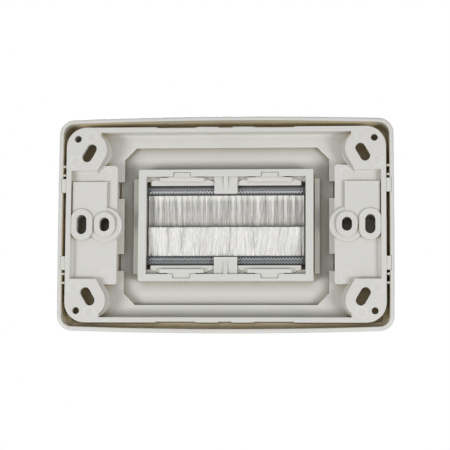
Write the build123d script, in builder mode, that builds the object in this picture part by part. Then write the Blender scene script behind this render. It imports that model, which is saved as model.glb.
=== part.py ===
"""Brush wall plate: a double size wall plate with two facing brush strips for passing cables.

Frame: as installed on the wall. +Z is up, the front faces -Y, the wall plane is Y = 0 and the
origin is the middle of the wall plane. All sizes are millimetres, and depths are measured from
the wall plane towards the front, so a depth d lies at Y = -d.
"""

import math
import os

from build123d import *

# How far an added rib, boss or tab runs into the wall that it grows from
weld = 0.5

# Cover plate, the outer shell
plate_width = 116.65
plate_height = 75.6
long_edge_bow = 1.05
short_edge_bow = 0.2
plate_corner_radius = 5.2
rim_wall = 1.55
rim_setback = 0.3
rim_outer_round = 0.7
rim_inner_round = 0.3
side_draft = 1.2
cavity_draft = 0.7
cavity_depth = 9.0
front_wall = 2.0
front_crown = 0.3
front_edge_round = 2.0

# Cover plate: centring ribs inside its short sides, and guide rails for the brush carrier
centring_rib_thickness = 0.65
centring_rib_clearance = 0.15
centring_rib_root = 0.15
centring_rib_heights = (17.2, 20.3)
guide_rail_thickness = 1.6
guide_rail_length = 33.2
guide_rail_height = 2.0
guide_clearance = 0.425

# Mounting base, the frame that is screwed to the wall box
base_side_gap = 1.275
base_edge_gap = 2.25
base_corner_radius = 7.0
base_wall = 1.8
base_seat_gap = 0.1
base_edge_round = 0.25
base_floor_depth = 6.5
base_floor_thickness = 1.8
floor_cove = 1.1
aperture_width = 71.7
aperture_height = 55.2
aperture_chamfer = 4.1

# Mounting base: snap tabs on the short sides and shallow recesses on the long sides
snap_tab_height = 4.7
snap_tab_z = 13.5
snap_tab_bite = 0.35
snap_tab_thickness = 1.8
snap_tab_setback = 0.3
snap_tab_clearance = 0.15
edge_recess_width = 13.8
edge_recess_x = 17.0
edge_recess_deep = 0.3
middle_recess_width = 4.8

# Mounting base: side panels, with a raised field above the screw bosses
panel_depth = 2.0
panel_inner_x = 37.8
panel_lap = 1.85
panel_corner_round = 1.0
panel_skin = 1.8
panel_cove = 1.3
field_depth = 0.9
field_inner_x = 41.3
field_outer_gap = 0.45
field_top_z = 14.9
notch_height = 6.0
notch_z = 12.7
notch_undercut_depth = 6.1

# Cover plate: narrow pockets in its floor for the ends of the hooks, under the hook notches
hook_pocket_width = 0.65
hook_pocket_deep = 1.2

# Mounting base: corner pads that lie against the wall, placed from the base's outer faces
pad_reach_x = 10.85
pad_reach_z = 15.15
pad_round_inset_x = 8.0
pad_round_inset_z = 7.65
pad_round_radius = 6.15
pad_step_inset = 12.05
pad_skin = 2.2
pad_skirt = 1.6
foot_radius = 7.2
foot_drop = 0.55
foot_depth = 2.2
pad_slot_inset_z = 9.0
pad_slot_width = 3.45
pad_slot_length = 6.7
pad_slot_tilt = 30.0
pad_hole_radius = 1.18
pad_hole_inset_x = 4.0
pad_hole_inset_z = 4.05

# Mounting base: wall screw bosses at the standard centres, and the outer slots beside them
screw_spacing = 84.0
screw_slot_width = 3.5
screw_slot_length = 4.9
screw_boss_depth = 0.35
screw_boss_wall = 1.95
screw_disc_depth = 1.2
screw_disc_radius = 6.05
screw_head_radius = 3.6
screw_head_seat_depth = 4.6
outer_slot_inset = 3.7
outer_slot_width = 3.55
outer_slot_length = 6.8
outer_boss_depth = 0.35
outer_boss_wall = 2.1
boss_edge_round = 0.2

# Mounting base: faint round marks that the moulding pins leave
pin_mark_radius = 1.85
pin_mark_deep = 0.1
pad_pin_mark_insets = ((10.2, 3.3), (4.6, 12.1))
panel_pin_mark_inset = (3.85, 2.9)

# Brush carrier, the rectangular frame that clamps the brush strips from behind
carrier_width = 60.85
carrier_height = 39.0
carrier_side_bar = 2.7
carrier_long_bar = 2.5
carrier_corner_round = 0.6
carrier_rear_depth = 3.0
carrier_edge_round = 0.2
corner_shelf_depth = 5.0
corner_shelf_clearance = 0.12
latch_notch_deep = 1.5
latch_notch_sunk = 2.0
keeper_width = 8.0
keeper_reach = 5.9
keeper_depth = 3.9
keeper_thickness = 1.3
keeper_rib_width = 1.3
keeper_rib_reach = 4.8

# Window insert, the front bezel with its four latches
insert_side_gap = 1.575
insert_end_gap = 1.7
ledge_wall = 1.3
ledge_rear_depth = 4.5
window_side_frame = 1.75
window_end_frame = 5.0
window_corner_round = 1.2
window_edge_round = 0.8
flange_lap = 2.6
flange_thickness = 1.4
flange_corner_round = 2.0
flange_edge_round = 0.5
flange_sunk = 0.7
insert_clearance = 0.2
latch_end_inset = 3.25
latch_width = 15.2
latch_thickness = 1.4
latch_rear_depth = 3.2
latch_clearance = 0.15
latch_edge_round = 0.2
latch_step_width = 9.8
tongue_width = 6.3
tongue_taper = 0.35
tongue_side_gap = 0.12
tongue_setback = 0.25
shoulder_setback = 1.2

# Brush strips: a stiff backing tape, two rows of thread, and the filaments
strip_rear_depth = 5.5
strip_thickness = 2.0
strip_height = 3.3
strip_end_clearance = 0.15
strip_edge_round = 0.4
fit_gap = 0.1
bristle_thickness = 1.1
bristle_end_inset = 0.4
bristle_ridges = 52
bristle_ridge_deep = 0.22
upper_tip_z = -0.9
lower_tip_z = -0.5
upper_tip_lean = 0.4
lower_tip_lean = 1.1
thread_width = 0.3
thread_thickness = 0.2
stitch_pitch = 1.06
stitch_height = 0.9
stitch_row_inset = 0.85
stitch_row_spacing = 1.25
stitch_end_inset = 0.6

# Depths, half sizes and places that follow from the sizes above
front_depth = cavity_depth + front_wall
inner_half_width = plate_width / 2 - rim_wall
inner_half_height = plate_height / 2 - rim_wall
base_half_width = inner_half_width - base_side_gap
base_half_height = inner_half_height - base_edge_gap
base_inner_x = base_half_width - base_wall
base_inner_z = base_half_height - base_wall
base_front_depth = cavity_depth - base_seat_gap
floor_front_depth = base_floor_depth + base_floor_thickness
field_outer_x = base_inner_x - field_outer_gap
pad_edge_x = base_half_width - pad_reach_x
pad_edge_z = base_half_height - pad_reach_z
pad_round_x = base_half_width - pad_round_inset_x
pad_round_z = base_half_height - pad_round_inset_z
pad_step_x = base_half_width - pad_step_inset
pad_slot_z = base_half_height - pad_slot_inset_z
pad_hole_x = base_half_width - pad_hole_inset_x
pad_hole_z = base_half_height - pad_hole_inset_z
panel_half_height = pad_edge_z + panel_lap
notch_bottom_z = notch_z - notch_height / 2
notch_top_z = notch_z + notch_height / 2
outer_slot_x = base_inner_x - outer_slot_inset
screw_x = screw_spacing / 2
screw_boss_width = screw_slot_width + 2 * screw_boss_wall
screw_boss_length = screw_slot_length + 2 * screw_boss_wall
outer_boss_width = outer_slot_width + 2 * outer_boss_wall
outer_boss_length = outer_slot_length + 2 * outer_boss_wall
carrier_front_depth = cavity_depth - fit_gap
opening_half_width = carrier_width / 2 - carrier_side_bar
opening_half_height = carrier_height / 2 - carrier_long_bar
guide_inner_x = carrier_width / 2 + guide_clearance
insert_half_width = opening_half_width - insert_side_gap
insert_half_height = opening_half_height - insert_end_gap
window_width = 2 * (insert_half_width - window_side_frame)
window_height = 2 * (insert_half_height - window_end_frame)
latch_x = insert_half_width - latch_end_inset - latch_width / 2
latch_outer_z = insert_half_height + latch_thickness
tongue_tip_z = opening_half_height + latch_notch_deep - latch_clearance
tongue_front_depth = carrier_rear_depth + latch_notch_sunk - fit_gap
flange_half_width = insert_half_width + insert_clearance + flange_lap
flange_half_height = latch_outer_z + insert_clearance + flange_lap
flange_rear_depth = front_depth - flange_sunk
flange_front_depth = flange_rear_depth + flange_thickness
strip_front_depth = strip_rear_depth + strip_thickness
seat_depth = strip_front_depth + fit_gap
strip_half_length = opening_half_width - strip_end_clearance
strip_outer_z = insert_half_height - ledge_wall - fit_gap
strip_inner_z = strip_outer_z - strip_height
strip_middle_depth = strip_rear_depth + strip_thickness / 2
strip_middle_z = (strip_outer_z + strip_inner_z) / 2
keeper_front_depth = keeper_depth + keeper_thickness
bristle_half_length = strip_half_length - bristle_end_inset


def rear_plane(depth):
    """Sketch plane at a depth: local x is X, local y is Z, and an extrusion runs to the front."""
    return Plane(origin=(0, -depth, 0), x_dir=(1, 0, 0), z_dir=(0, -1, 0))


def span(x_from, x_to, z_from, z_to, rounding=0.0):
    """Face of a rectangle between two X values and two Z values, with rounded corners if given."""
    with BuildSketch() as shape:
        with Locations(((x_from + x_to) / 2, (z_from + z_to) / 2)):
            Rectangle(abs(x_to - x_from), abs(z_to - z_from))
        if rounding > 0:
            fillet(shape.vertices(), rounding)
    return shape.sketch


def upright_slot(x, z, width, length, tilt=0.0):
    """Face of a slot of a full width and a full length, leaning from upright by a tilt."""
    with BuildSketch() as shape:
        with Locations((x, z)):
            SlotOverall(length, width, rotation=90 + tilt)
    return shape.sketch


def disc(x, z, radius):
    """Face of a circle."""
    with BuildSketch() as shape:
        with Locations((x, z)):
            Circle(radius)
    return shape.sketch


def both_sides(shape):
    """The face on the right side, repeated on the left."""
    return shape + shape.mirror(Plane.YZ)


def both_ends(shape):
    """The face at the upper end, repeated at the lower end."""
    return shape + shape.mirror(Plane.XZ)


def eight_sided(width, height, corner):
    """Face of a rectangle with its corners cut off."""
    with BuildSketch() as shape:
        Rectangle(width, height)
        chamfer(shape.vertices(), corner)
    return shape.sketch


def polygon(*points):
    """Face with straight edges between its corners, in order."""
    with BuildSketch() as shape:
        with BuildLine():
            Polyline(*points, points[0])
        make_face()
    return shape.sketch


def bowed_outline(shrink, radius):
    """Face of the plate's outline, drawn in by shrink all round, with its edges bowed outwards."""
    x = plate_width / 2 - shrink - short_edge_bow
    z = plate_height / 2 - shrink - long_edge_bow
    with BuildSketch() as outline:
        with BuildLine():
            ThreePointArc((-x, z), (0, z + long_edge_bow), (x, z))
            ThreePointArc((x, z), (x + short_edge_bow, 0), (x, -z))
            ThreePointArc((x, -z), (0, -z - long_edge_bow), (-x, -z))
            ThreePointArc((-x, -z), (-x - short_edge_bow, 0), (-x, z))
        make_face()
        fillet(outline.vertices(), radius)
    return outline.sketch


def corner_pad_region(inset):
    """Face of the upper right corner pad, its free edges moved inwards by inset."""
    start_x = pad_edge_x + inset
    start_z = pad_edge_z + inset
    radius = pad_round_radius - inset
    reach = math.hypot(pad_round_x - start_x, pad_round_z - start_z)
    heading = math.atan2(pad_round_z - start_z, pad_round_x - start_x) + math.asin(radius / reach)
    run = math.sqrt(reach**2 - radius**2)
    tangent = (start_x + run * math.cos(heading), start_z + run * math.sin(heading))
    step_x = pad_step_x + inset
    step_z = pad_round_z + math.sqrt(radius**2 - (pad_round_x - step_x) ** 2)
    with BuildSketch() as region:
        with BuildLine():
            Line((start_x, start_z), tangent)
            ThreePointArc(tangent, (pad_round_x - radius, pad_round_z), (step_x, step_z))
            Polyline(
                (step_x, step_z),
                (step_x, base_half_height),
                (base_half_width, base_half_height),
                (base_half_width, start_z),
                (start_x, start_z),
            )
        make_face()
    return region.sketch


def boss(shape, depth):
    """Boss from a depth to the floor's front, with its rear edge rounded."""
    with BuildPart() as body:
        with BuildSketch(rear_plane(depth)):
            add(shape)
        extrude(amount=floor_front_depth - depth)
        fillet(body.faces().sort_by(Axis.Y)[-1].edges(), boss_edge_round)
    return body.part


def cove(middle, away, length, radius):
    """Hollow quarter round strip that fills a square inner corner, rising to the rear and away."""
    rise = Vector(0, 1, 0)
    bulge = radius * (1 - math.sqrt(0.5))
    with BuildPart() as strip:
        with BuildSketch(Plane(origin=middle, x_dir=rise, z_dir=rise.cross(Vector(away)))):
            with BuildLine():
                Line((0, 0), (radius, 0))
                ThreePointArc((radius, 0), (bulge, bulge), (0, radius))
                Line((0, radius), (0, 0))
            make_face()
        extrude(amount=length / 2, both=True)
    return strip.part


os.makedirs("parts", exist_ok=True)

# Cover plate: a drafted shell with bowed edges and a crowned front, open to the rear
with BuildPart() as cover_plate:
    with BuildSketch(rear_plane(rim_setback)):
        add(bowed_outline(0, plate_corner_radius))
    with BuildSketch(rear_plane(front_depth + front_crown)):
        add(bowed_outline(side_draft, plate_corner_radius))
    loft()
    with BuildSketch(Plane.XY):
        with BuildLine():
            crown_end_depth = front_depth - 3 * front_crown
            ThreePointArc(
                (-plate_width, -crown_end_depth),
                (0, -front_depth - front_crown),
                (plate_width, -crown_end_depth),
            )
            Polyline(
                (plate_width, -crown_end_depth),
                (plate_width, plate_width),
                (-plate_width, plate_width),
                (-plate_width, -crown_end_depth),
            )
        make_face()
    extrude(amount=plate_height, both=True, mode=Mode.INTERSECT)
    front_face = cover_plate.faces().sort_by(Axis.Y)[0]
    fillet(front_face.outer_wire().edges(), front_edge_round)

    with BuildSketch(rear_plane(rim_setback)):
        add(bowed_outline(rim_wall, plate_corner_radius - rim_wall))
    with BuildSketch(rear_plane(cavity_depth)):
        add(bowed_outline(rim_wall + cavity_draft, plate_corner_radius - rim_wall))
    loft(mode=Mode.SUBTRACT)
    rim_face = cover_plate.faces().sort_by(Axis.Y)[-1]
    fillet(rim_face.outer_wire().edges(), rim_outer_round)
    rim_face = cover_plate.faces().sort_by(Axis.Y)[-1]
    fillet(rim_face.inner_wires()[0].edges(), rim_inner_round)

    # The window for the insert, sunk around its flange
    with BuildSketch(rear_plane(cavity_depth)):
        window_half_width = insert_half_width + insert_clearance
        window_half_height = latch_outer_z + insert_clearance
        add(span(-window_half_width, window_half_width, -window_half_height, window_half_height))
    extrude(amount=front_wall + flange_thickness, mode=Mode.SUBTRACT)
    with BuildSketch(rear_plane(flange_rear_depth)):
        sunk_half_width = flange_half_width + insert_clearance
        sunk_half_height = flange_half_height + insert_clearance
        add(
            span(
                -sunk_half_width,
                sunk_half_width,
                -sunk_half_height,
                sunk_half_height,
                flange_corner_round + insert_clearance,
            )
        )
    extrude(amount=front_wall + flange_thickness, mode=Mode.SUBTRACT)

    # Guide rails on both sides of the carrier
    guide_outer_x = guide_inner_x + guide_rail_thickness
    guide_rail = span(guide_inner_x, guide_outer_x, -guide_rail_length / 2, guide_rail_length / 2)
    with BuildSketch(rear_plane(cavity_depth - guide_rail_height)):
        add(both_sides(guide_rail))
    extrude(amount=guide_rail_height + weld)

    # Narrow pockets in the floor, beside the panels of the base
    hook_pocket = span(
        panel_inner_x - hook_pocket_width, panel_inner_x, notch_bottom_z, notch_top_z
    )
    with BuildSketch(rear_plane(cavity_depth)):
        add(both_ends(both_sides(hook_pocket)))
    extrude(amount=hook_pocket_deep, mode=Mode.SUBTRACT)

    # Pairs of thin ribs that centre the base between the short sides
    with BuildSketch(rear_plane(rim_setback + rim_inner_round)):
        for rib_z in centring_rib_heights:
            rib = span(
                base_half_width + centring_rib_clearance,
                inner_half_width + centring_rib_root,
                rib_z - centring_rib_thickness / 2,
                rib_z + centring_rib_thickness / 2,
            )
            add(both_ends(both_sides(rib)))
    extrude(amount=cavity_depth - rim_setback - rim_inner_round + weld)

    # Pockets in the rim that the snap tabs of the base lie in
    tab_half_height = snap_tab_height / 2
    pocket = span(
        base_half_width,
        inner_half_width + snap_tab_bite + snap_tab_clearance,
        snap_tab_z - tab_half_height - snap_tab_clearance,
        snap_tab_z + tab_half_height + snap_tab_clearance,
    )
    with BuildSketch(rear_plane(0)):
        add(both_ends(both_sides(pocket)))
    pocket_depth = snap_tab_setback + snap_tab_thickness + snap_tab_clearance
    extrude(amount=pocket_depth, mode=Mode.SUBTRACT)
cover_plate.part.label = "cover_plate"
export_step(cover_plate.part, "parts/cover_plate.step")


# Mounting base: a wall all round, a sunk floor with an eight sided aperture, panels and pads
with BuildPart() as mounting_base:
    with BuildSketch(rear_plane(0)):
        RectangleRounded(2 * base_half_width, 2 * base_half_height, base_corner_radius)
        RectangleRounded(
            2 * base_inner_x,
            2 * base_inner_z,
            base_corner_radius - base_wall,
            mode=Mode.SUBTRACT,
        )
    extrude(amount=base_front_depth)
    with BuildSketch(rear_plane(base_floor_depth)):
        RectangleRounded(
            2 * base_inner_x + base_wall,
            2 * base_inner_z + base_wall,
            base_corner_radius - base_wall / 2,
        )
        add(eight_sided(aperture_width, aperture_height, aperture_chamfer), mode=Mode.SUBTRACT)
    extrude(amount=base_floor_thickness)

    # Corner pads level with the wall, each on a round foot, hollow from the front
    with BuildSketch(rear_plane(0)):
        add(both_ends(both_sides(corner_pad_region(0))))
        RectangleRounded(
            2 * base_half_width, 2 * base_half_height, base_corner_radius, mode=Mode.INTERSECT
        )
    extrude(amount=floor_front_depth)
    with BuildSketch(rear_plane(foot_depth)):
        add(both_ends(both_sides(disc(pad_round_x, pad_round_z - foot_drop, foot_radius))))
        Rectangle(2 * base_half_width, 2 * base_half_height, mode=Mode.INTERSECT)
    extrude(amount=floor_front_depth - foot_depth)
    with BuildSketch(rear_plane(pad_skin)):
        add(both_ends(both_sides(corner_pad_region(pad_skirt))))
        RectangleRounded(
            2 * base_inner_x, 2 * base_inner_z, base_corner_radius - base_wall, mode=Mode.INTERSECT
        )
    extrude(amount=base_front_depth, mode=Mode.SUBTRACT)

    # Side panels between the pads, hollow from the front
    panel = span(
        panel_inner_x,
        base_inner_x + base_wall / 2,
        -panel_half_height,
        panel_half_height,
        panel_corner_round,
    )
    panel_hollow = span(
        panel_inner_x + panel_skin,
        base_inner_x,
        panel_skin - panel_half_height,
        panel_half_height - panel_skin,
    )
    with BuildSketch(rear_plane(panel_depth)):
        add(both_sides(panel))
    extrude(amount=floor_front_depth - panel_depth)
    with BuildSketch(rear_plane(panel_depth + panel_skin)):
        add(both_sides(panel_hollow))
    extrude(amount=base_front_depth, mode=Mode.SUBTRACT)
    with BuildSketch(rear_plane(field_depth)):
        add(both_sides(span(field_inner_x, field_outer_x, 0, field_top_z)))
    extrude(amount=panel_depth - field_depth + weld)

    # Hollow quarter rounds along the walls of the floor and of the panels
    for side in (1, -1):
        add(
            cove(
                (0, -base_floor_depth, side * base_inner_z),
                (0, 0, -side),
                2 * pad_step_x,
                floor_cove,
            )
        )
        add(
            cove(
                (side * base_inner_x, -panel_depth, -pad_edge_z / 2),
                (-side, 0, 0),
                pad_edge_z,
                panel_cove,
            )
        )
        add(
            cove(
                (side * (base_inner_x + pad_edge_x) / 2, -panel_depth, pad_edge_z),
                (0, 0, -1),
                base_inner_x - pad_edge_x,
                panel_cove,
            )
        )

    # Screw bosses, the outer slot bosses beside them, and the slots and screw head seats
    screw_disc = disc(screw_x, 0, screw_disc_radius)
    screw_boss = upright_slot(screw_x, 0, screw_boss_width, screw_boss_length)
    outer_boss = upright_slot(outer_slot_x, 0, outer_boss_width, outer_boss_length)
    add(both_sides(boss(screw_disc, screw_disc_depth)))
    add(both_sides(boss(screw_boss, screw_boss_depth)))
    add(both_sides(boss(outer_boss, outer_boss_depth)))
    with BuildSketch(rear_plane(0)):
        add(both_sides(upright_slot(screw_x, 0, screw_slot_width, screw_slot_length)))
        add(both_sides(upright_slot(outer_slot_x, 0, outer_slot_width, outer_slot_length)))
    extrude(amount=base_front_depth, mode=Mode.SUBTRACT)
    with BuildSketch(rear_plane(screw_head_seat_depth)):
        add(both_sides(disc(screw_x, 0, screw_head_radius)))
    extrude(amount=base_front_depth, mode=Mode.SUBTRACT)

    # Hook notches in the short sides of the aperture, running in under the panels
    notch = span(
        aperture_width / 2 - weld, panel_inner_x + panel_skin, notch_bottom_z, notch_top_z
    )
    with BuildSketch(rear_plane(notch_undercut_depth)):
        add(both_ends(both_sides(notch)))
    extrude(amount=base_front_depth, mode=Mode.SUBTRACT)

    # Slots and round holes in the pads, and shallow recesses in the long outer faces
    pad_slot = upright_slot(
        pad_round_x, pad_slot_z, pad_slot_width, pad_slot_length, pad_slot_tilt
    )
    edge_recess = span(
        edge_recess_x - edge_recess_width / 2,
        edge_recess_x + edge_recess_width / 2,
        base_half_height - edge_recess_deep,
        base_half_height + base_edge_gap,
    )
    middle_recess = span(
        -middle_recess_width / 2,
        middle_recess_width / 2,
        base_half_height - edge_recess_deep,
        base_half_height + base_edge_gap,
    )
    with BuildSketch(rear_plane(0)):
        add(both_ends(both_sides(pad_slot)))
        add(both_ends(both_sides(disc(pad_hole_x, pad_hole_z, pad_hole_radius))))
        add(both_ends(both_sides(edge_recess)))
        add(both_ends(middle_recess))
    extrude(amount=base_front_depth, mode=Mode.SUBTRACT)

    # Snap tabs on the short sides
    snap_tab = span(
        base_half_width - weld,
        inner_half_width + snap_tab_bite,
        snap_tab_z - tab_half_height,
        snap_tab_z + tab_half_height,
    )
    with BuildSketch(rear_plane(snap_tab_setback)):
        add(both_ends(both_sides(snap_tab)))
    extrude(amount=snap_tab_thickness)

    wall_edges = mounting_base.edges().filter_by_position(Axis.Y, -weld / 100, weld / 100)
    fillet(wall_edges, base_edge_round)

    with BuildSketch(rear_plane(0)):
        for inset_x, inset_z in pad_pin_mark_insets:
            pin_mark = disc(base_half_width - inset_x, base_half_height - inset_z, pin_mark_radius)
            add(both_ends(both_sides(pin_mark)))
    extrude(amount=pin_mark_deep, mode=Mode.SUBTRACT)
    with BuildSketch(rear_plane(panel_depth)):
        inset_x, inset_z = panel_pin_mark_inset
        pin_mark = disc(panel_inner_x + inset_x, panel_half_height - inset_z, pin_mark_radius)
        add(both_ends(both_sides(pin_mark)))
    extrude(amount=pin_mark_deep, mode=Mode.SUBTRACT)
mounting_base.part.label = "mounting_base"
export_step(mounting_base.part, "parts/mounting_base.step")


# Brush carrier: a deep frame with notches for the latches, shelves beside them in the opening,
# and two keepers over the brush strips
with BuildPart() as brush_carrier:
    with BuildSketch(rear_plane(carrier_rear_depth)):
        RectangleRounded(carrier_width, carrier_height, carrier_corner_round)
        Rectangle(2 * opening_half_width, 2 * opening_half_height, mode=Mode.SUBTRACT)
    extrude(amount=carrier_front_depth - carrier_rear_depth)

    notch_mouth_half = tongue_width / 2 + tongue_side_gap
    notch_end_half = notch_mouth_half - tongue_taper
    notch_end_z = opening_half_height + latch_notch_deep
    latch_notch = polygon(
        (latch_x - notch_mouth_half, opening_half_height - weld),
        (latch_x - notch_end_half, notch_end_z),
        (latch_x + notch_end_half, notch_end_z),
        (latch_x + notch_mouth_half, opening_half_height - weld),
    )
    with BuildSketch(rear_plane(carrier_rear_depth)):
        add(both_ends(both_sides(latch_notch)))
    extrude(amount=latch_notch_sunk, mode=Mode.SUBTRACT)
    fillet(brush_carrier.faces().sort_by(Axis.Y)[-1].edges(), carrier_edge_round)

    shelf_low_z = insert_half_height + corner_shelf_clearance
    shelf_high_z = latch_outer_z + corner_shelf_clearance
    shelf_root_z = opening_half_height + weld
    shelf_start_x = latch_x + latch_width / 2 + corner_shelf_clearance
    corner_shelf = polygon(
        (shelf_start_x, shelf_root_z),
        (shelf_start_x, shelf_high_z),
        (shelf_start_x + latch_end_inset, shelf_low_z),
        (opening_half_width + weld, shelf_low_z),
        (opening_half_width + weld, shelf_root_z),
    )
    shelf_end_x = latch_x - latch_width / 2 - corner_shelf_clearance
    middle_shelf = polygon(
        (shelf_end_x, shelf_root_z),
        (shelf_end_x, shelf_high_z),
        (shelf_end_x - latch_end_inset, shelf_low_z),
        (latch_end_inset - shelf_end_x, shelf_low_z),
        (-shelf_end_x, shelf_high_z),
        (-shelf_end_x, shelf_root_z),
    )
    with BuildSketch(rear_plane(corner_shelf_depth)):
        add(both_ends(both_sides(corner_shelf)))
        add(both_ends(middle_shelf))
    extrude(amount=carrier_front_depth - corner_shelf_depth)

    keeper = span(
        -keeper_width / 2,
        keeper_width / 2,
        opening_half_height - keeper_reach,
        opening_half_height + weld,
    )
    with BuildSketch(rear_plane(keeper_depth)):
        add(both_ends(keeper))
    extrude(amount=keeper_thickness)

    rib_top_depth = carrier_rear_depth + carrier_edge_round
    rib_side = polygon(
        (-keeper_depth - weld, opening_half_height - keeper_rib_reach),
        (-keeper_depth, opening_half_height - keeper_rib_reach),
        (-rib_top_depth, opening_half_height - carrier_edge_round),
        (-rib_top_depth, opening_half_height + weld),
        (-keeper_depth - weld, opening_half_height + weld),
    )
    with BuildSketch(Plane.YZ):
        add(both_ends(rib_side))
    extrude(amount=keeper_rib_width / 2, both=True)
brush_carrier.part.label = "brush_carrier"
export_step(brush_carrier.part, "parts/brush_carrier.step")


# Window insert: a front bezel whose ledges and latches reach back through the plate's window
with BuildPart() as window_insert:
    with BuildSketch(rear_plane(flange_rear_depth)):
        RectangleRounded(2 * flange_half_width, 2 * flange_half_height, flange_corner_round)
    extrude(amount=flange_thickness)
    with BuildSketch(rear_plane(seat_depth)):
        Rectangle(2 * insert_half_width, 2 * insert_half_height)
    extrude(amount=flange_rear_depth - seat_depth)
    with BuildSketch(rear_plane(ledge_rear_depth)):
        ledge_inner_z = insert_half_height - ledge_wall
        ledge = span(-insert_half_width, insert_half_width, ledge_inner_z, insert_half_height)
        add(both_ends(ledge))
    extrude(amount=seat_depth - ledge_rear_depth)
    with BuildSketch(rear_plane(ledge_rear_depth)):
        gap_half_width = keeper_width / 2 + latch_clearance
        keeper_gap = span(
            -gap_half_width, gap_half_width, ledge_inner_z - weld, insert_half_height + weld
        )
        add(both_ends(keeper_gap))
    extrude(amount=keeper_front_depth + fit_gap - ledge_rear_depth, mode=Mode.SUBTRACT)

    with BuildSketch(rear_plane(latch_rear_depth)):
        latch_inner_x = latch_x - latch_width / 2
        latch_outer_x = latch_x + latch_width / 2
        latch = span(latch_inner_x, latch_outer_x, insert_half_height, latch_outer_z)
        add(both_ends(both_sides(latch)))
    extrude(amount=flange_rear_depth - latch_rear_depth)
    latch_faces = window_insert.faces().filter_by(Axis.Y).sort_by(Axis.Y)[-4:]
    fillet(latch_faces.edges().filter_by(Axis.X), latch_edge_round)
    latch_step = span(
        latch_x - latch_step_width / 2,
        latch_x + latch_step_width / 2,
        latch_outer_z - weld,
        opening_half_height - fit_gap,
    )
    with BuildSketch(rear_plane(latch_rear_depth + latch_edge_round)):
        add(both_ends(both_sides(latch_step)))
    extrude(amount=tongue_front_depth - latch_rear_depth - latch_edge_round)

    tongue_root_half = tongue_width / 2
    tongue_tip_half = tongue_root_half - tongue_taper
    tongue = polygon(
        (latch_x - tongue_root_half, latch_outer_z - weld),
        (latch_x - tongue_tip_half, tongue_tip_z),
        (latch_x + tongue_tip_half, tongue_tip_z),
        (latch_x + tongue_root_half, latch_outer_z - weld),
    )
    tongue_rear_depth = latch_rear_depth + tongue_setback
    with BuildSketch(rear_plane(tongue_rear_depth)):
        add(both_ends(both_sides(tongue)))
    extrude(amount=tongue_front_depth - tongue_rear_depth)

    with BuildSketch(rear_plane(latch_rear_depth + shoulder_setback)):
        for latch_end_x, way in ((latch_outer_x, 1), (latch_inner_x, -1)):
            shoulder = polygon(
                (latch_end_x, insert_half_height),
                (latch_end_x, latch_outer_z),
                (latch_end_x + way * latch_end_inset, insert_half_height),
            )
            add(both_ends(both_sides(shoulder)))
    extrude(amount=flange_rear_depth - latch_rear_depth - shoulder_setback)

    with BuildSketch(rear_plane(seat_depth)):
        RectangleRounded(window_width, window_height, window_corner_round)
    extrude(amount=flange_front_depth, mode=Mode.SUBTRACT)
    bezel_face = window_insert.faces().sort_by(Axis.Y)[0]
    fillet(bezel_face.outer_wire().edges(), flange_edge_round)
    bezel_face = window_insert.faces().sort_by(Axis.Y)[0]
    fillet(bezel_face.inner_wires()[0].edges(), window_edge_round)
window_insert.part.label = "window_insert"
export_step(window_insert.part, "parts/window_insert.step")


def backing_tape(end):
    """Stiff woven tape that holds the filaments, along the upper (1) or lower (-1) ledge."""
    with BuildPart() as tape:
        with BuildSketch(Plane.YZ):
            with Locations((-strip_middle_depth, end * strip_middle_z)):
                RectangleRounded(strip_thickness, strip_height, strip_edge_round)
        extrude(amount=strip_half_length, both=True)
    return tape.part


def bristle_pack(end, tip_z, tip_lean):
    """Ridged pack of upright filaments between its tape and its tips, leaning to the rear."""
    step = bristle_half_length / bristle_ridges
    rear_edge = []
    front_edge = []
    for i in range(2 * bristle_ridges + 1):
        x = -bristle_half_length + i * step
        half_depth = bristle_thickness / 2 - bristle_ridge_deep * (i % 2)
        rear_edge.append((x, half_depth - strip_middle_depth))
        front_edge.append((x, -half_depth - strip_middle_depth))
    root_z = end * strip_inner_z
    run = Vector(0, tip_lean, tip_z - root_z)
    with BuildPart() as pack:
        with BuildSketch(Plane.XY.offset(root_z)):
            add(polygon(*rear_edge, *reversed(front_edge)))
        extrude(amount=run.length, dir=run)
    return pack.part


def stitching(end):
    """Two zigzag rows of thread on the rear face of a backing tape."""
    half_length = strip_half_length - stitch_end_inset
    count = 2 * round(half_length / stitch_pitch)
    step = half_length / count
    half_thread = thread_width / 2
    first_row_z = strip_inner_z + stitch_row_inset
    with BuildPart() as rows:
        with BuildSketch(rear_plane(strip_rear_depth - thread_thickness)):
            for row_z in (first_row_z, first_row_z + stitch_row_spacing):
                upper_edge = []
                lower_edge = []
                for i in range(2 * count + 1):
                    x = -half_length + i * step
                    z = end * row_z + stitch_height / 2 * (-1) ** i
                    upper_edge.append((x, z + half_thread))
                    lower_edge.append((x, z - half_thread))
                add(polygon(*upper_edge, *reversed(lower_edge)))
        extrude(amount=thread_thickness)
    return rows.part


# Brush strips: backing tape, thread and filaments, once above and once below the window
with BuildPart() as upper_brush_backing:
    add(backing_tape(1))
upper_brush_backing.part.label = "upper_brush_backing"
export_step(upper_brush_backing.part, "parts/upper_brush_backing.step")

with BuildPart() as lower_brush_backing:
    add(backing_tape(-1))
lower_brush_backing.part.label = "lower_brush_backing"
export_step(lower_brush_backing.part, "parts/lower_brush_backing.step")

with BuildPart() as upper_stitching:
    add(stitching(1))
upper_stitching.part.label = "upper_stitching"
export_step(upper_stitching.part, "parts/upper_stitching.step")

with BuildPart() as lower_stitching:
    add(stitching(-1))
lower_stitching.part.label = "lower_stitching"
export_step(lower_stitching.part, "parts/lower_stitching.step")

with BuildPart() as upper_bristles:
    add(bristle_pack(1, upper_tip_z, -upper_tip_lean))
upper_bristles.part.label = "upper_bristles"
export_step(upper_bristles.part, "parts/upper_bristles.step")

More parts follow.
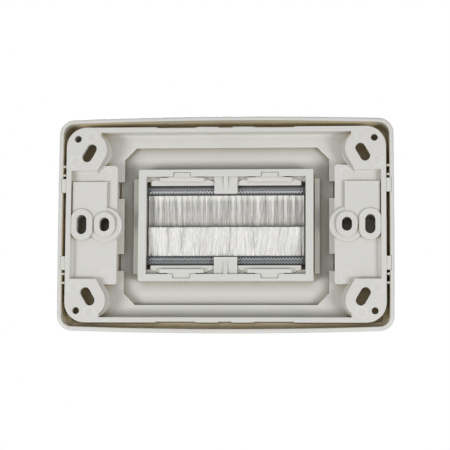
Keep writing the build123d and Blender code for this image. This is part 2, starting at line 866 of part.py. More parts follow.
with BuildPart() as lower_bristles:
    add(bristle_pack(-1, lower_tip_z, lower_tip_lean))
lower_bristles.part.label = "lower_bristles"
export_step(lower_bristles.part, "parts/lower_bristles.step")
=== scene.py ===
"""Brush wall plate, seen from behind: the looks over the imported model."""

import math

import bpy
from mathutils import Matrix, Vector


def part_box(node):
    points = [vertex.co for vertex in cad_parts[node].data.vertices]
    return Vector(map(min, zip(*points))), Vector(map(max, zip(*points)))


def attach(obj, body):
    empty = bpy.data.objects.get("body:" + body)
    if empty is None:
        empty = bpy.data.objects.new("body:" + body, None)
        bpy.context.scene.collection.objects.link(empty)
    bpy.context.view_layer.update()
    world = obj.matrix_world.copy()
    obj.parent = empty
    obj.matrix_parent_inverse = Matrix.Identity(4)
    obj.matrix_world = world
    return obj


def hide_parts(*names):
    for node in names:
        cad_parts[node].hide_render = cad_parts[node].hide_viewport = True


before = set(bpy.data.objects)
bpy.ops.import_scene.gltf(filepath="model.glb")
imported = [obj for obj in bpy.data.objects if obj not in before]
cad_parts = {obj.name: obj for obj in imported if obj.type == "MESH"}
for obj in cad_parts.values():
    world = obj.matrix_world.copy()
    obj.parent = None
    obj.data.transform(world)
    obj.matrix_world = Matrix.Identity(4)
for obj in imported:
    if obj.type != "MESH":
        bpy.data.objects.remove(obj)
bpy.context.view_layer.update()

# Camera: a long lens behind the plate, a little below its middle and towards the picture's
# right, looking at the rear face, as in the photograph. Left and right are the picture's here
# and below, so left is +X
camera_distance = 0.6
pixels_per_metre = 2900
image_side = 450
sensor_width = 36
pitch = math.radians(-6.73)
yaw = math.radians(-4.27)
roll = math.radians(-0.33)

plate_to_view = (
    Matrix.Rotation(roll, 3, "Z") @ Matrix.Rotation(pitch, 3, "X") @ Matrix.Rotation(yaw, 3, "Y")
)
rear_view_axes = Matrix(((-1, 0, 0), (0, 0, 1), (0, 1, 0)))
camera_turn = rear_view_axes @ plate_to_view.transposed()
camera_place = camera_turn @ Vector((0, 0, camera_distance))
camera_data = bpy.data.cameras.new("camera")
camera_data.sensor_width = sensor_width
camera_data.lens = sensor_width * pixels_per_metre * camera_distance / image_side
camera_data.shift_x = 0.0003
camera_data.shift_y = -0.0026
camera_data.clip_start = 0.01
camera = bpy.data.objects.new("camera", camera_data)
camera.matrix_world = Matrix.Translation(camera_place) @ camera_turn.to_4x4()
bpy.context.scene.collection.objects.link(camera)
bpy.context.scene.camera = camera
bpy.context.scene.view_settings.view_transform = "Standard"


# Light: two soft lamps behind the plate, to the left and right and a little below, a weak one
# above, and one that lights the front of the plate from the room side. The surround is white
# where it is seen, and dim as a light
def soft_lamp(name, place, side, power):
    """Square lamp at this place, turned to the plate."""
    light = bpy.data.lights.new(name, "AREA")
    light.shape = "SQUARE"
    light.size = side
    light.energy = power
    lamp = bpy.data.objects.new(name, light)
    lamp.location = place
    lamp.rotation_euler = (-Vector(place)).to_track_quat("-Z", "Y").to_euler()
    bpy.context.scene.collection.objects.link(lamp)


def feed(tree, socket, value):
    """Joins another socket to this one, or sets it to a plain value."""
    if isinstance(value, bpy.types.NodeSocket):
        tree.links.new(value, socket)
    else:
        socket.default_value = value


def maths(tree, operation, *values):
    """One maths node, fed with sockets or with plain numbers."""
    node = tree.nodes.new("ShaderNodeMath")
    node.operation = operation
    for socket, value in zip(node.inputs, values):
        feed(tree, socket, value)
    return node.outputs[0]


soft_lamp("lamp_low_left", (0.65, 0.6, -0.25), 0.3, 4.4)
soft_lamp("lamp_low_right", (-0.65, 0.6, -0.25), 0.3, 4.4)
soft_lamp("lamp_above", (0.0, 0.7, 0.7), 0.6, 0.5)
soft_lamp("lamp_front", (0.3, -0.9, 0.6), 0.6, 12.0)

strength_as_light = 0.25
strength_where_seen = 1.0
world = bpy.data.worlds.new("surround")
bpy.context.scene.world = world
world.use_nodes = True
tree = world.node_tree
tree.nodes.clear()
ray = tree.nodes.new("ShaderNodeLightPath")
seen = maths(tree, "MAXIMUM", ray.outputs["Is Camera Ray"], ray.outputs["Is Glossy Ray"])
seen_through = maths(tree, "MAXIMUM", seen, ray.outputs["Is Transmission Ray"])
mix = tree.nodes.new("ShaderNodeMixShader")
tree.links.new(seen_through, mix.inputs["Fac"])
for shader_number, strength in ((1, strength_as_light), (2, strength_where_seen)):
    white = tree.nodes.new("ShaderNodeBackground")
    white.inputs["Color"].default_value = (1.0, 1.0, 1.0, 1.0)
    white.inputs["Strength"].default_value = strength
    tree.links.new(white.outputs[0], mix.inputs[shader_number])
out = tree.nodes.new("ShaderNodeOutputWorld")
tree.links.new(mix.outputs[0], out.inputs["Surface"])


# Floor: a plain pale sheet well below the plate, out of the photograph's view, which is almost
# white to the camera and matt to everything else
def new_finish(name, roughness):
    """Material of this roughness, with its node tree and its surface shader."""
    finish = bpy.data.materials.new(name)
    finish.use_nodes = True
    shader = finish.node_tree.nodes["Principled BSDF"]
    shader.inputs["Roughness"].default_value = roughness
    return finish, finish.node_tree, shader


floor_reach = 2
floor_height = -0.9
floor_corners = [
    (side_x * floor_reach, side_y * floor_reach, floor_height)
    for side_x, side_y in ((-1, -1), (1, -1), (1, 1), (-1, 1))
]
floor_mesh = bpy.data.meshes.new("floor")
floor_mesh.from_pydata(floor_corners, [], [(0, 1, 2, 3)])
floor = bpy.data.objects.new("floor", floor_mesh)
bpy.context.scene.collection.objects.link(floor)

white_share = 0.94
floor_finish, tree, matt = new_finish("floor", 0.8)
matt.inputs["Base Color"].default_value = (0.86, 0.86, 0.86, 1)
pale = tree.nodes.new("ShaderNodeEmission")
pale.inputs["Color"].default_value = (1.0, 1.0, 1.0, 1)
ray = tree.nodes.new("ShaderNodeLightPath")
whitened = maths(tree, "MULTIPLY", ray.outputs["Is Camera Ray"], white_share)
mix = tree.nodes.new("ShaderNodeMixShader")
tree.links.new(whitened, mix.inputs["Fac"])
tree.links.new(matt.outputs["BSDF"], mix.inputs[1])
tree.links.new(pale.outputs["Emission"], mix.inputs[2])
tree.links.new(mix.outputs[0], tree.nodes["Material Output"].inputs["Surface"])
floor_mesh.materials.append(floor_finish)


# Cover plate: the outer shell, one injection moulding in pale grey plastic with a fine spark
# eroded grain. It snaps over the tabs of the base, and those parts of its inside that the base
# covers are painted in warm shade
def shade_of(colour, shares):
    """A plain colour times a share for each of red, green and blue."""
    return tuple(channel * share for channel, share in zip(colour, shares))


def blend(tree, factor, first, second):
    """Mix of two colours, each a socket or a plain colour."""
    node = tree.nodes.new("ShaderNodeMix")
    node.data_type = "RGBA"
    tree.links.new(factor, node.inputs["Factor"])
    for socket, colour in ((node.inputs["A"], first), (node.inputs["B"], second)):
        feed(tree, socket, (*colour, 1) if isinstance(colour, tuple) else colour)
    return node.outputs["Result"]


def mottle(tree, scale, detail):
    """Noise over a piece, as a number from nought to one."""
    place = tree.nodes.new("ShaderNodeTexCoord")
    noise = tree.nodes.new("ShaderNodeTexNoise")
    noise.inputs["Scale"].default_value = scale
    noise.inputs["Detail"].default_value = detail
    tree.links.new(place.outputs["Object"], noise.inputs["Vector"])
    return noise.outputs["Fac"]


def emboss(tree, shader, height, strength, depth):
    """Fine relief on a surface, from a number that says how high it stands."""
    relief = tree.nodes.new("ShaderNodeBump")
    relief.inputs["Strength"].default_value = strength
    relief.inputs["Distance"].default_value = depth
    tree.links.new(height, relief.inputs["Height"])
    tree.links.new(relief.outputs["Normal"], shader.inputs["Normal"])


def nook_ramp(tree, nook, nook_shade_shares):
    """Painted shade by which a tone is multiplied, from the deepest nook out to white in the open.
    """
    ramp = tree.nodes.new("ShaderNodeValToRGB")
    deepest, *others = nook_shade_shares
    ramp.color_ramp.elements[0].color = (*deepest[1], 1)
    ramp.color_ramp.elements[0].position = deepest[0]
    ramp.color_ramp.elements[1].color = (1, 1, 1, 1)
    for openness, share in others:
        ramp.color_ramp.elements.new(openness).color = (*share, 1)
    tree.links.new(nook.outputs["AO"], ramp.inputs["Fac"])
    return ramp


def moulded_plastic(name, tone, roughness, grain_height, nook_shade_shares):
    """Pale plastic with a fine eroded grain and flow marks, painted shade and warm painted light in
    its nooks, and painted highlights along its edges.
    """
    finish, tree, shader = new_finish(name, roughness)
    shader.inputs["IOR"].default_value = 1.5
    flow = mottle(tree, 45.0, 3.0)
    darker = shade_of(tone, (0.965, 0.962, 0.95))
    lighter = shade_of(tone, (1.03, 1.03, 1.035))
    tint = blend(tree, flow, darker, lighter)

    # Painted shade and warm painted light in the nooks, read from ambient occlusion, by the shares
    # given for each plastic
    nook = tree.nodes.new("ShaderNodeAmbientOcclusion")
    nook.name = "nook"
    nook.samples = 8
    nook.inputs["Distance"].default_value = 0.004
    nook_shade = nook_ramp(tree, nook, nook_shade_shares)
    nook_shade.name = "nook_shade"
    shaded = tree.nodes.new("ShaderNodeMix")
    shaded.name = "shaded"
    shaded.data_type = "RGBA"
    shaded.blend_type = "MULTIPLY"
    shaded.inputs["Factor"].default_value = 1.0
    tree.links.new(tint, shaded.inputs["A"])
    tree.links.new(nook_shade.outputs["Color"], shaded.inputs["B"])

    # Painted highlight along the convex edges, found by occlusion from inside
    edge = tree.nodes.new("ShaderNodeAmbientOcclusion")
    edge.samples = 8
    edge.inside = True
    edge.only_local = True
    edge.inputs["Distance"].default_value = 0.0004
    edge_highlight = tree.nodes.new("ShaderNodeMapRange")
    edge_highlight.inputs["From Min"].default_value = 0.9
    edge_highlight.inputs["From Max"].default_value = 0.55
    edge_highlight.inputs["To Max"].default_value = 0.6
    tree.links.new(edge.outputs["AO"], edge_highlight.inputs["Value"])
    edge_highlight_tone = shade_of(tone, (1.25, 1.25, 1.25))
    lit_edges = blend(tree, edge_highlight.outputs["Result"], shaded.outputs["Result"], edge_highlight_tone)
    lit_edges.node.name = "lit_edges"
    tree.links.new(lit_edges, shader.inputs["Base Color"])

    gloss = tree.nodes.new("ShaderNodeMapRange")
    gloss.inputs["From Min"].default_value = 0.3
    gloss.inputs["From Max"].default_value = 0.7
    gloss.inputs["To Min"].default_value = roughness - 0.04
    gloss.inputs["To Max"].default_value = roughness + 0.05
    tree.links.new(flow, gloss.inputs["Value"])
    tree.links.new(gloss.outputs["Result"], shader.inputs["Roughness"])
    emboss(tree, shader, mottle(tree, 5200.0, 2.0), 0.25, grain_height)
    return finish


def dress(node, finish):
    """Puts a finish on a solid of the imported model."""
    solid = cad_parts[node]
    solid.data.materials.clear()
    solid.data.materials.append(finish)


def from_middle(tree):
    """How far a point of a piece lies from the middle of the plate, along X, Y and Z."""
    place = tree.nodes.new("ShaderNodeTexCoord")
    apart = tree.nodes.new("ShaderNodeSeparateXYZ")
    tree.links.new(place.outputs["Object"], apart.inputs["Vector"])
    return {axis: maths(tree, "ABSOLUTE", apart.outputs[axis]) for axis in "XYZ"}


pale_grey = (0.635, 0.63, 0.605)
# Painted shade by openness, with warm painted light deep in the gaps: for the open nooks of the
# cover, and for where the base covers it
cover_nook_shade = ((0.0, (1.4, 1.22, 0.84)), (0.34, (1.5, 1.36, 1.04)), (0.52, (0.62, 0.6, 0.53)))
covered_nook_shade = ((0.0, (1.15, 0.88, 0.48)), (0.34, (0.7, 0.6, 0.42)), (0.52, (0.62, 0.6, 0.53)))
panel_shade = (1.3, 1.04, 0.64)
screw_shade = (0.42, 0.36, 0.26)
covered_half_length = 0.0543
covered_half_height = 0.0335
panel_middle = 0.047
panel_half_width = 0.0068
panel_half_height = 0.032
screw_zone_half_height = 0.008
inner_depth = 0.0101

cover_finish = moulded_plastic("cover_plastic", pale_grey, 0.36, 0.00002, cover_nook_shade)
dress("cover_plate", cover_finish)
tree = cover_finish.node_tree
off = from_middle(tree)
# Painted warm shade where the base covers the inside of the cover, warmer over the side panels and
# darker near the screws
under_base = maths(
    tree,
    "MULTIPLY",
    maths(tree, "COMPARE", off["X"], 0, covered_half_length),
    maths(tree, "COMPARE", off["Z"], 0, covered_half_height),
)
beside_panel_middle = maths(tree, "COMPARE", off["X"], panel_middle, panel_half_width)
within_panel_height = maths(tree, "COMPARE", off["Z"], 0, panel_half_height)
over_panel = maths(tree, "MULTIPLY", beside_panel_middle, within_panel_height)
inside_shell = maths(tree, "COMPARE", off["Y"], 0, inner_depth)
under_panels = maths(tree, "MULTIPLY", over_panel, inside_shell)
near_screws = maths(tree, "COMPARE", off["Z"], 0, screw_zone_half_height)
under_screws = maths(tree, "MULTIPLY", under_panels, near_screws)
covered = nook_ramp(tree, tree.nodes["nook"], covered_nook_shade)
shares = tree.nodes["nook_shade"].outputs["Color"]
shares = blend(tree, under_base, shares, covered.outputs["Color"])
shares = blend(tree, under_panels, shares, panel_shade)
shares = blend(tree, under_screws, shares, screw_shade)
tree.links.new(shares, tree.nodes["shaded"].inputs["B"])


# Mounting base: a second moulding of the same plastic, duller and with a coarser grain, which
# is screwed to the wall box and holds the cover with its snap tabs. The ejector pins of its
# mould have left shallow marks, and thin pale rings are painted round them as highlights on
# their edges
def vector(tree, x, y, z):
    """One combine node, fed with sockets or with plain numbers."""
    node = tree.nodes.new("ShaderNodeCombineXYZ")
    for socket, value in zip(node.inputs, (x, y, z)):
        feed(tree, socket, value)
    return node.outputs[0]


# Painted warm shade in the nooks of the base
base_nook_shade = ((0.05, (0.66, 0.55, 0.36)), (0.28, (0.8, 0.73, 0.58)), (0.5, (0.88, 0.86, 0.82)))
pin_places = ((0.0469, 0.0307), (0.0525, 0.0219), (0.04165, 0.0178))
pin_radius = 0.00185
ring_half_width = 0.00014
ring_share = 0.42
ring_highlight_tone = (0.82, 0.82, 0.8)

base_finish = moulded_plastic("base_plastic", pale_grey, 0.42, 0.00003, base_nook_shade)
dress("mounting_base", base_finish)
tree = base_finish.node_tree
off = from_middle(tree)
flat_place = vector(tree, off["X"], 0, off["Z"])
ringed = tree.nodes["lit_edges"].outputs["Result"]
# Pale rings painted as highlights on the edges of the pin marks
for pin_x, pin_z in pin_places:
    from_pin = tree.nodes.new("ShaderNodeVectorMath")
    from_pin.operation = "DISTANCE"
    from_pin.inputs[1].default_value = (pin_x, 0, pin_z)
    tree.links.new(flat_place, from_pin.inputs[0])
    on_ring = maths(tree, "COMPARE", from_pin.outputs["Value"], pin_radius, ring_half_width)
    ringed = blend(tree, maths(tree, "MULTIPLY", on_ring, ring_share), ringed, ring_highlight_tone)
tree.links.new(ringed, tree.nodes["Principled BSDF"].inputs["Base Color"])

# Brush carrier: a deep frame moulded in the same plastic, smoother than the base. It stands on
# the floor of the cover between two rails, and its two keepers clamp the strips
# Painted warm shade in the nooks of the carrier, and of the insert below
carrier_nook_shade = ((0.05, (0.7, 0.63, 0.5)), (0.45, (0.85, 0.83, 0.78)))
carrier_tone = (0.635, 0.635, 0.615)
carrier_finish = moulded_plastic("carrier_plastic", carrier_tone, 0.38, 0.00002, carrier_nook_shade)
dress("brush_carrier", carrier_finish)

# Window insert: the front bezel, moulded in the same plastic a shade lighter. Its four latches
# hook into the carrier, and the strips lie on its two ledges
insert_tone = (0.65, 0.645, 0.62)
insert_finish = moulded_plastic("insert_plastic", insert_tone, 0.36, 0.00002, carrier_nook_shade)
dress("window_insert", insert_finish)


# Brush backing: two stiff tapes woven from dark blue grey yarn and folded over the ends of the
# filaments, held between the ledges of the insert and the keepers of the carrier
def woven_tape(name, tape_middle):
    """Dark close weave, its yarns 0.45 mm apart, with painted shade along its long edges where it
    is folded.
    """
    finish, tree, shader = new_finish(name, 0.75)
    place = tree.nodes.new("ShaderNodeTexCoord")
    yarns = []
    for direction in ("X", "Z"):
        yarn = tree.nodes.new("ShaderNodeTexWave")
        yarn.bands_direction = direction
        yarn.inputs["Scale"].default_value = 700.0
        yarn.inputs["Distortion"].default_value = 0.6
        tree.links.new(place.outputs["Object"], yarn.inputs["Vector"])
        yarns.append(yarn.outputs["Fac"])
    weave = maths(tree, "MULTIPLY", *yarns)
    tint = blend(tree, weave, (0.05, 0.054, 0.057), (0.18, 0.19, 0.196))

    # Painted shade along the long edges of the tape, where its fold rounds off into the gap beside
    # it
    from_line = maths(tree, "SUBTRACT", from_middle(tree)["Z"], tape_middle)
    edge_shade_band = tree.nodes.new("ShaderNodeMapRange")
    edge_shade_band.interpolation_type = "SMOOTHSTEP"
    edge_shade_band.inputs["From Min"].default_value = 0.00105
    edge_shade_band.inputs["From Max"].default_value = 0.0015
    tree.links.new(maths(tree, "ABSOLUTE", from_line), edge_shade_band.inputs["Value"])
    edge_shaded = blend(tree, edge_shade_band.outputs["Result"], tint, (0.03, 0.03, 0.032))
    tree.links.new(edge_shaded, shader.inputs["Base Color"])
    emboss(tree, shader, weave, 0.6, 0.0001)
    return finish


tape_low, tape_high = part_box("upper_brush_backing")
tape_finish = woven_tape("tape_weave", (tape_low.z + tape_high.z) / 2)
dress("upper_brush_backing", tape_finish)
dress("lower_brush_backing", tape_finish)


# Stitching: pale twisted thread, 0.3 mm thick, sewn through each tape in a wide and a narrow
# row of slanting stitches, which hold the filaments in their tufts
def sewing_thread(name, colour):
    """Matt thread with a slight change of tone from stitch to stitch."""
    finish, tree, shader = new_finish(name, 0.6)
    tint = blend(tree, mottle(tree, 900.0, 2.0), shade_of(colour, (0.75, 0.75, 0.75)), colour)
    tree.links.new(tint, shader.inputs["Base Color"])
    return finish


def tree_with_inputs(name, inputs):
    """Empty geometry tree, the sockets of its named inputs and the socket of its result."""
    tree = bpy.data.node_groups.new(name, "GeometryNodeTree")
    for kind, labels in inputs.items():
        for label in labels:
            tree.interface.new_socket(label, in_out="INPUT", socket_type=kind)
    tree.interface.new_socket("Geometry", in_out="OUTPUT", socket_type="NodeSocketGeometry")
    given = tree.nodes.new("NodeGroupInput").outputs
    result = tree.nodes.new("NodeGroupOutput").inputs["Geometry"]
    return tree, given, result


def made_by(tree, name, values):
    """Runs a geometry tree with these input values and returns the result as a plain mesh."""
    holder = bpy.data.objects.new(name, bpy.data.meshes.new(name))
    bpy.context.scene.collection.objects.link(holder)
    modifier = holder.modifiers.new(name, "NODES")
    modifier.node_group = tree
    for item in tree.interface.items_tree:
        if item.item_type == "SOCKET" and item.in_out == "INPUT":
            modifier[item.identifier] = values[item.name]
    bpy.context.view_layer.update()
    evaluated = holder.evaluated_get(bpy.context.evaluated_depsgraph_get())
    mesh = bpy.data.meshes.new_from_object(evaluated)
    holder.modifiers.remove(modifier)
    holder.data = mesh
    mesh.name = name
    return holder


def random_number(tree, given, low, high, step=0, key=None):
    """Random number for each point or each value of a key, drawn from the seed plus a step."""
    node = tree.nodes.new("FunctionNodeRandomValue")
    node.data_type = "FLOAT"
    feed(tree, node.inputs["Min"], low)
    feed(tree, node.inputs["Max"], high)
    feed(tree, node.inputs["Seed"], maths(tree, "ADD", given["Seed"], step))
    if key is not None:
        feed(tree, node.inputs["ID"], key)
    return node.outputs["Value"]


def spun(tree, line, radius, sides, finish, result):
    """Gives a line its round section and its finish, and makes it the tree's result."""
    section = tree.nodes.new("GeometryNodeCurvePrimitiveCircle")
    section.inputs["Resolution"].default_value = sides
    tree.links.new(radius, section.inputs["Radius"])
    skin = tree.nodes.new("GeometryNodeCurveToMesh")
    skin.inputs["Fill Caps"].default_value = True
    tree.links.new(line, skin.inputs["Curve"])
    tree.links.new(section.outputs["Curve"], skin.inputs["Profile Curve"])
    real = tree.nodes.new("GeometryNodeRealizeInstances")
    tree.links.new(skin.outputs["Mesh"], real.inputs["Geometry"])
    coloured = tree.nodes.new("GeometryNodeSetMaterial")
    tree.links.new(real.outputs["Geometry"], coloured.inputs["Geometry"])
    tree.links.new(finish, coloured.inputs["Material"])
    tree.links.new(coloured.outputs["Geometry"], result)


zigzag_inputs = {
    "NodeSocketInt": ("Turns", "Seed"),
    "NodeSocketFloat": (
        "Half length",
        "Row height",
        "Half width",
        "Depth",
        "Lift",
        "Thread radius",
        "Unevenness",
    ),
    "NodeSocketMaterial": ("Thread",),
}
points_per_turn = 4
stitch_tree, given, result = tree_with_inputs("zigzag_row", zigzag_inputs)
tree = stitch_tree
row_start = maths(tree, "MULTIPLY", given["Half length"], -1)
line = tree.nodes.new("GeometryNodeMeshLine")
line.mode = "END_POINTS"
feed(tree, line.inputs["Count"], maths(tree, "MULTIPLY_ADD", given["Turns"], points_per_turn, 1))
feed(tree, line.inputs["Start Location"], vector(tree, row_start, given["Depth"], 0))
feed(tree, line.inputs["Offset"], vector(tree, given["Half length"], given["Depth"], 0))

point_number = tree.nodes.new("GeometryNodeInputIndex").outputs[0]
angle = maths(tree, "MULTIPLY", point_number, 2 * math.pi / points_per_turn)
wobble = random_number(tree, given, -1.0, 1.0)
uneven = maths(tree, "MULTIPLY", wobble, given["Unevenness"])
swing = maths(tree, "MULTIPLY", maths(tree, "SINE", angle), given["Half width"])
height = maths(tree, "ADD", maths(tree, "ADD", swing, uneven), given["Row height"])
rise = maths(tree, "ABSOLUTE", maths(tree, "COSINE", angle))
arch = maths(tree, "MULTIPLY", rise, given["Lift"])
swung = tree.nodes.new("GeometryNodeSetPosition")
feed(tree, swung.inputs["Geometry"], line.outputs["Mesh"])
feed(tree, swung.inputs["Offset"], vector(tree, uneven, arch, height))
laid = tree.nodes.new("GeometryNodeMeshToCurve")
feed(tree, laid.inputs["Mesh"], swung.outputs["Geometry"])
spun(tree, laid.outputs["Curve"], given["Thread radius"], 6, given["Thread"], result)

bright_thread = sewing_thread("thread_bright", (0.95, 0.96, 0.96))
grey_thread = sewing_thread("thread_grey", (0.62, 0.64, 0.65))
faint_thread = sewing_thread("thread_faint", (0.42, 0.44, 0.45))
thread_radius = 0.00015
thread_lift = 0.00003
thread_unevenness = 0.00005
turns_per_row = 50
stitch_rows = {
    "upper": {
        "wide": {"Row height": 0.0118, "Half width": 0.0005, "Seed": 7, "Thread": bright_thread},
        "narrow": {"Row height": 0.01275, "Half width": 0.00025, "Seed": 8, "Thread": faint_thread},
    },
    "lower": {
        "wide": {"Row height": -0.0117, "Half width": 0.0005, "Seed": 7, "Thread": grey_thread},
        "narrow": {"Row height": -0.0128, "Half width": 0.00035, "Seed": 8, "Thread": faint_thread},
    },
}
for name, rows in stitch_rows.items():
    low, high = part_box(name + "_stitching")
    for row_name, row in rows.items():
        thread = made_by(
            stitch_tree,
            f"{name}_{row_name}_zigzag",
            {
                "Half length": high.x - 2 * thread_radius,
                "Turns": turns_per_row,
                "Depth": high.y - thread_radius - thread_lift,
                "Lift": thread_lift,
                "Thread radius": thread_radius,
                "Unevenness": thread_unevenness,
                **row,
            },
        )
        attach(thread, "root")
        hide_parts(name + "_stitching")


# Bristles: two dense piles of white crimped nylon filaments, 0.16 mm thick, held in tufts by
# the stitching of their tapes and cut straight where they meet
def kept(tree, geometry, name, value):
    """Stores a number on each point under a name."""
    node = tree.nodes.new("GeometryNodeStoreNamedAttribute")
    node.data_type = "FLOAT"
    node.domain = "POINT"
    node.inputs["Name"].default_value = name
    tree.links.new(geometry, node.inputs["Geometry"])
    tree.links.new(value, node.inputs["Value"])
    return node.outputs["Geometry"]


def read_back(tree, name):
    """The number that is stored on each point under a name."""
    node = tree.nodes.new("GeometryNodeInputNamedAttribute")
    node.data_type = "FLOAT"
    node.inputs["Name"].default_value = name
    return node.outputs["Attribute"]


pile_inputs = {
    "NodeSocketInt": ("Filaments", "Seed"),
    "NodeSocketFloat": (
        "Half width",
        "Root height",
        "Tip height",
        "Root depth",
        "Tip depth",
        "Thickness",
        "Tuft pitch",
        "Tuft contrast",
        "Tip contrast",
        "Own contrast",
        "Tip shade",
        "Root light",
        "Glint",
        "Root pinch",
        "Tip pinch",
        "Crimp",
        "Sideways lean",
        "Tuft lean",
        "Own lean",
        "Uneven tips",
        "Filament radius",
    ),
    "NodeSocketMaterial": ("Finish",),
}
pile_tree, given, result = tree_with_inputs("filament_pile", pile_inputs)
tree = pile_tree

# Roots: filaments at random places along the tape, each with its own numbers and its tuft's
most_tuft_shift = 0.3
faintest_tuft = 0.35
roots = tree.nodes.new("GeometryNodePoints")
tree.links.new(given["Filaments"], roots.inputs["Count"])
spread = maths(tree, "MULTIPLY_ADD", random_number(tree, given, 0, 1, 1), 2, -1)
root_x = maths(tree, "MULTIPLY", spread, given["Half width"])
layer = random_number(tree, given, -0.5, 0.5, 2)
tuft_number = maths(tree, "ROUND", maths(tree, "DIVIDE", root_x, given["Tuft pitch"]))
tuft_shift = random_number(tree, given, -most_tuft_shift, most_tuft_shift, 3, tuft_number)
shifted_number = maths(tree, "ADD", tuft_number, tuft_shift)
stored_numbers = {
    "root_x": root_x,
    "layer": layer,
    "tuft_middle": maths(tree, "MULTIPLY", shifted_number, given["Tuft pitch"]),
    "tuft_tone": random_number(tree, given, faintest_tuft, 1, 4, tuft_number),
    "own_tone": random_number(tree, given, 0, 1, 5),
    "own_length": random_number(tree, given, 0, 1, 6),
    "own_lean": random_number(tree, given, -1, 1, 7),
    "tuft_lean": random_number(tree, given, -1, 1, 8, tuft_number),
}
points = roots.outputs["Geometry"]
for label, value in stored_numbers.items():
    points = kept(tree, points, label, value)

filament = tree.nodes.new("GeometryNodeCurvePrimitiveLine")
filament.inputs["End"].default_value = (0, 0, 1)
filament_points = tree.nodes.new("GeometryNodeResampleCurve")
filament_points.inputs["Count"].default_value = 6
tree.links.new(filament.outputs["Curve"], filament_points.inputs["Curve"])
plant = tree.nodes.new("GeometryNodeInstanceOnPoints")
tree.links.new(points, plant.inputs["Points"])
tree.links.new(filament_points.outputs["Curve"], plant.inputs["Instance"])
planted = tree.nodes.new("GeometryNodeRealizeInstances")
tree.links.new(plant.outputs["Instances"], planted.inputs["Geometry"])

# Sideways: a filament bends to the middle of its tuft, leans and is crimped, within the pile
crimps_per_metre = 700
crimp_change_by_filament = 6
crimps_along_filament = 2.6
end_margin = 0.0001
along = tree.nodes.new("GeometryNodeSplineParameter").outputs["Factor"]
from_tip = maths(tree, "SUBTRACT", 1, along)
own_x = read_back(tree, "root_x")
to_middle = maths(tree, "SUBTRACT", read_back(tree, "tuft_middle"), own_x)
near_root = maths(tree, "MULTIPLY", from_tip, from_tip)
near_tip = maths(tree, "MULTIPLY", along, along)
root_pinch = maths(tree, "MULTIPLY", given["Root pinch"], near_root)
tip_pinch = maths(tree, "MULTIPLY", given["Tip pinch"], near_tip)
pinch = maths(tree, "ADD", root_pinch, tip_pinch)
pinched_x = maths(tree, "MULTIPLY_ADD", to_middle, pinch, own_x)

rear_half = maths(tree, "GREATER_THAN", read_back(tree, "layer"), 0)
leaning = maths(tree, "MULTIPLY", read_back(tree, "tuft_lean"), rear_half)
tuft_lean = maths(tree, "MULTIPLY_ADD", leaning, given["Tuft lean"], given["Sideways lean"])
own_lean = maths(tree, "MULTIPLY", read_back(tree, "own_lean"), given["Own lean"])
lean = maths(tree, "ADD", tuft_lean, own_lean)

crimp_place = vector(
    tree,
    maths(tree, "MULTIPLY", own_x, crimps_per_metre),
    maths(tree, "MULTIPLY", read_back(tree, "own_tone"), crimp_change_by_filament),
    maths(tree, "MULTIPLY", along, crimps_along_filament),
)
crimp_field = tree.nodes.new("ShaderNodeTexNoise")
crimp_field.noise_dimensions = "3D"
crimp_field.inputs["Scale"].default_value = 1.0
crimp_field.inputs["Detail"].default_value = 1.0
tree.links.new(crimp_place, crimp_field.inputs["Vector"])
to_and_fro = maths(tree, "SUBTRACT", crimp_field.outputs["Fac"], 0.5)
crimp = maths(tree, "MULTIPLY", to_and_fro, maths(tree, "MULTIPLY", given["Crimp"], along))
bent = maths(tree, "MULTIPLY_ADD", lean, along, crimp)
placed_x = maths(tree, "ADD", pinched_x, bent)
last_x = maths(tree, "SUBTRACT", given["Half width"], end_margin)
first_x = maths(tree, "MULTIPLY", last_x, -1)
held_x = maths(tree, "MINIMUM", maths(tree, "MAXIMUM", placed_x, first_x), last_x)

# Depth and length: from the tape to the tips, some filaments a little short
slope = maths(tree, "SUBTRACT", given["Tip depth"], given["Root depth"])
middle_depth = maths(tree, "MULTIPLY_ADD", slope, along, given["Root depth"])
own_layer = read_back(tree, "layer")
placed_y = maths(tree, "MULTIPLY_ADD", own_layer, given["Thickness"], middle_depth)
reach = maths(tree, "SUBTRACT", given["Tip height"], given["Root height"])
short_by = maths(tree, "MULTIPLY", read_back(tree, "own_length"), given["Uneven tips"])
own_reach = maths(tree, "MULTIPLY", reach, maths(tree, "SUBTRACT", 1, short_by))
placed_z = maths(tree, "MULTIPLY_ADD", own_reach, along, given["Root height"])
grown = tree.nodes.new("GeometryNodeSetPosition")
tree.links.new(planted.outputs["Geometry"], grown.inputs["Geometry"])
tree.links.new(vector(tree, held_x, placed_y, placed_z), grown.inputs["Position"])

# Tone: painted light down the middle of each tuft and painted shade between tufts, the
# filament's own tone, painted glints, painted light at the roots and painted shade at the tips
streak_reach = 0.42
mean_streak = 0.35
middle_tone = 0.5
contrast_rise = 0.6
tip_shade_fall = 12
root_light_fall = 14
streak_width = maths(tree, "MULTIPLY", given["Tuft pitch"], streak_reach)
off_tuft = maths(tree, "DIVIDE", maths(tree, "ABSOLUTE", to_middle), streak_width)
nearness = maths(tree, "MAXIMUM", maths(tree, "SUBTRACT", 1, off_tuft), 0)
streak = maths(tree, "MULTIPLY", nearness, read_back(tree, "tuft_tone"))
contrast_change = maths(tree, "SUBTRACT", given["Tip contrast"], given["Tuft contrast"])
risen = maths(tree, "POWER", along, contrast_rise)
contrast = maths(tree, "MULTIPLY_ADD", contrast_change, risen, given["Tuft contrast"])
tuft_share = maths(tree, "MULTIPLY", maths(tree, "SUBTRACT", streak, mean_streak), contrast)
own_change = maths(tree, "SUBTRACT", read_back(tree, "own_tone"), middle_tone)
own_share = maths(tree, "MULTIPLY", own_change, given["Own contrast"])
tip_end = maths(tree, "POWER", along, tip_shade_fall)
tip_shade = maths(tree, "MULTIPLY", tip_end, given["Tip shade"])
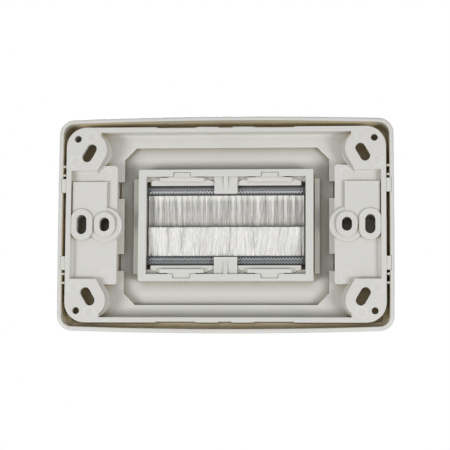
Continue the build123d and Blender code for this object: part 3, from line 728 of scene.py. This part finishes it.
dullest = maths(tree, "MULTIPLY", given["Glint"], -1)
own_tones = maths(tree, "ADD", own_share, random_number(tree, given, dullest, given["Glint"], 9))
root_end = maths(tree, "POWER", from_tip, root_light_fall)
root_light = maths(tree, "MULTIPLY", root_end, given["Root light"])
end_tones = maths(tree, "SUBTRACT", root_light, tip_shade)
shares = maths(tree, "ADD", maths(tree, "ADD", tuft_share, own_tones), end_tones)
shaded = kept(tree, grown.outputs["Geometry"], "tone", maths(tree, "ADD", shares, middle_tone))
spun(tree, shaded, given["Filament radius"], 3, given["Finish"], result)


def nylon(name, dull, bright):
    """White nylon, from a dull to a bright colour by each filament's stored tone, which holds
    painted light down the middle of each tuft and painted shade.
    """
    finish, tree, shader = new_finish(name, 0.35)
    tone = tree.nodes.new("ShaderNodeAttribute")
    tone.attribute_name = "tone"
    tree.links.new(blend(tree, tone.outputs["Fac"], dull, bright), shader.inputs["Base Color"])
    return finish


filaments_per_pile = 6000
tuft_pitch = 0.0021
pile_thickness = 0.0007
filament_radius = 0.00008
# Both piles are the same white nylon: the upper pile's copy is painted greyer as painted shade, and
# the lower pile's is painted brighter as painted light
pile_kinds = {
    "upper": {
        "Tuft contrast": 1.0,
        "Tip contrast": 0.25,
        "Own contrast": 0.5,
        "Tip shade": 0.9,
        "Root light": 0.7,
        "Glint": 0.3,
        "Root pinch": 0.1,
        "Tip pinch": 0.05,
        "Crimp": 0.0005,
        "Sideways lean": 0.0,
        "Tuft lean": 0.00035,
        "Own lean": 0.0003,
        "Uneven tips": 0.02,
        "Seed": 11,
        "Finish": nylon("shaded_upper_nylon", (0.37, 0.36, 0.335), (0.98, 0.97, 0.94)),
    },
    "lower": {
        "Tuft contrast": 0.9,
        "Tip contrast": 0.7,
        "Own contrast": 1.1,
        "Tip shade": 0.0,
        "Root light": 0.0,
        "Glint": 1.0,
        "Root pinch": 0.2,
        "Tip pinch": 0.2,
        "Crimp": 0.002,
        "Sideways lean": -0.0004,
        "Tuft lean": 0.0012,
        "Own lean": 0.0005,
        "Uneven tips": 0.03,
        "Seed": 23,
        "Finish": nylon("lit_lower_nylon", (0.79, 0.785, 0.76), (1.0, 1.0, 0.985)),
    },
}
for name, kind in pile_kinds.items():
    low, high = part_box(name + "_bristles")
    if low.z + high.z > 0:
        root_z, tip_z = high.z, low.z
        root_y, tip_y = high.y - pile_thickness / 2, low.y + pile_thickness / 2
    else:
        root_z, tip_z = low.z, high.z
        root_y, tip_y = low.y + pile_thickness / 2, high.y - pile_thickness / 2
    pile = made_by(
        pile_tree,
        name + "_pile",
        {
            "Filaments": filaments_per_pile,
            "Half width": high.x,
            "Root height": root_z,
            "Tip height": tip_z,
            "Root depth": root_y,
            "Tip depth": tip_y,
            "Thickness": pile_thickness - 2 * filament_radius,
            "Tuft pitch": tuft_pitch,
            "Filament radius": filament_radius,
            **kind,
        },
    )
    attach(pile, "root")
    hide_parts(name + "_bristles")
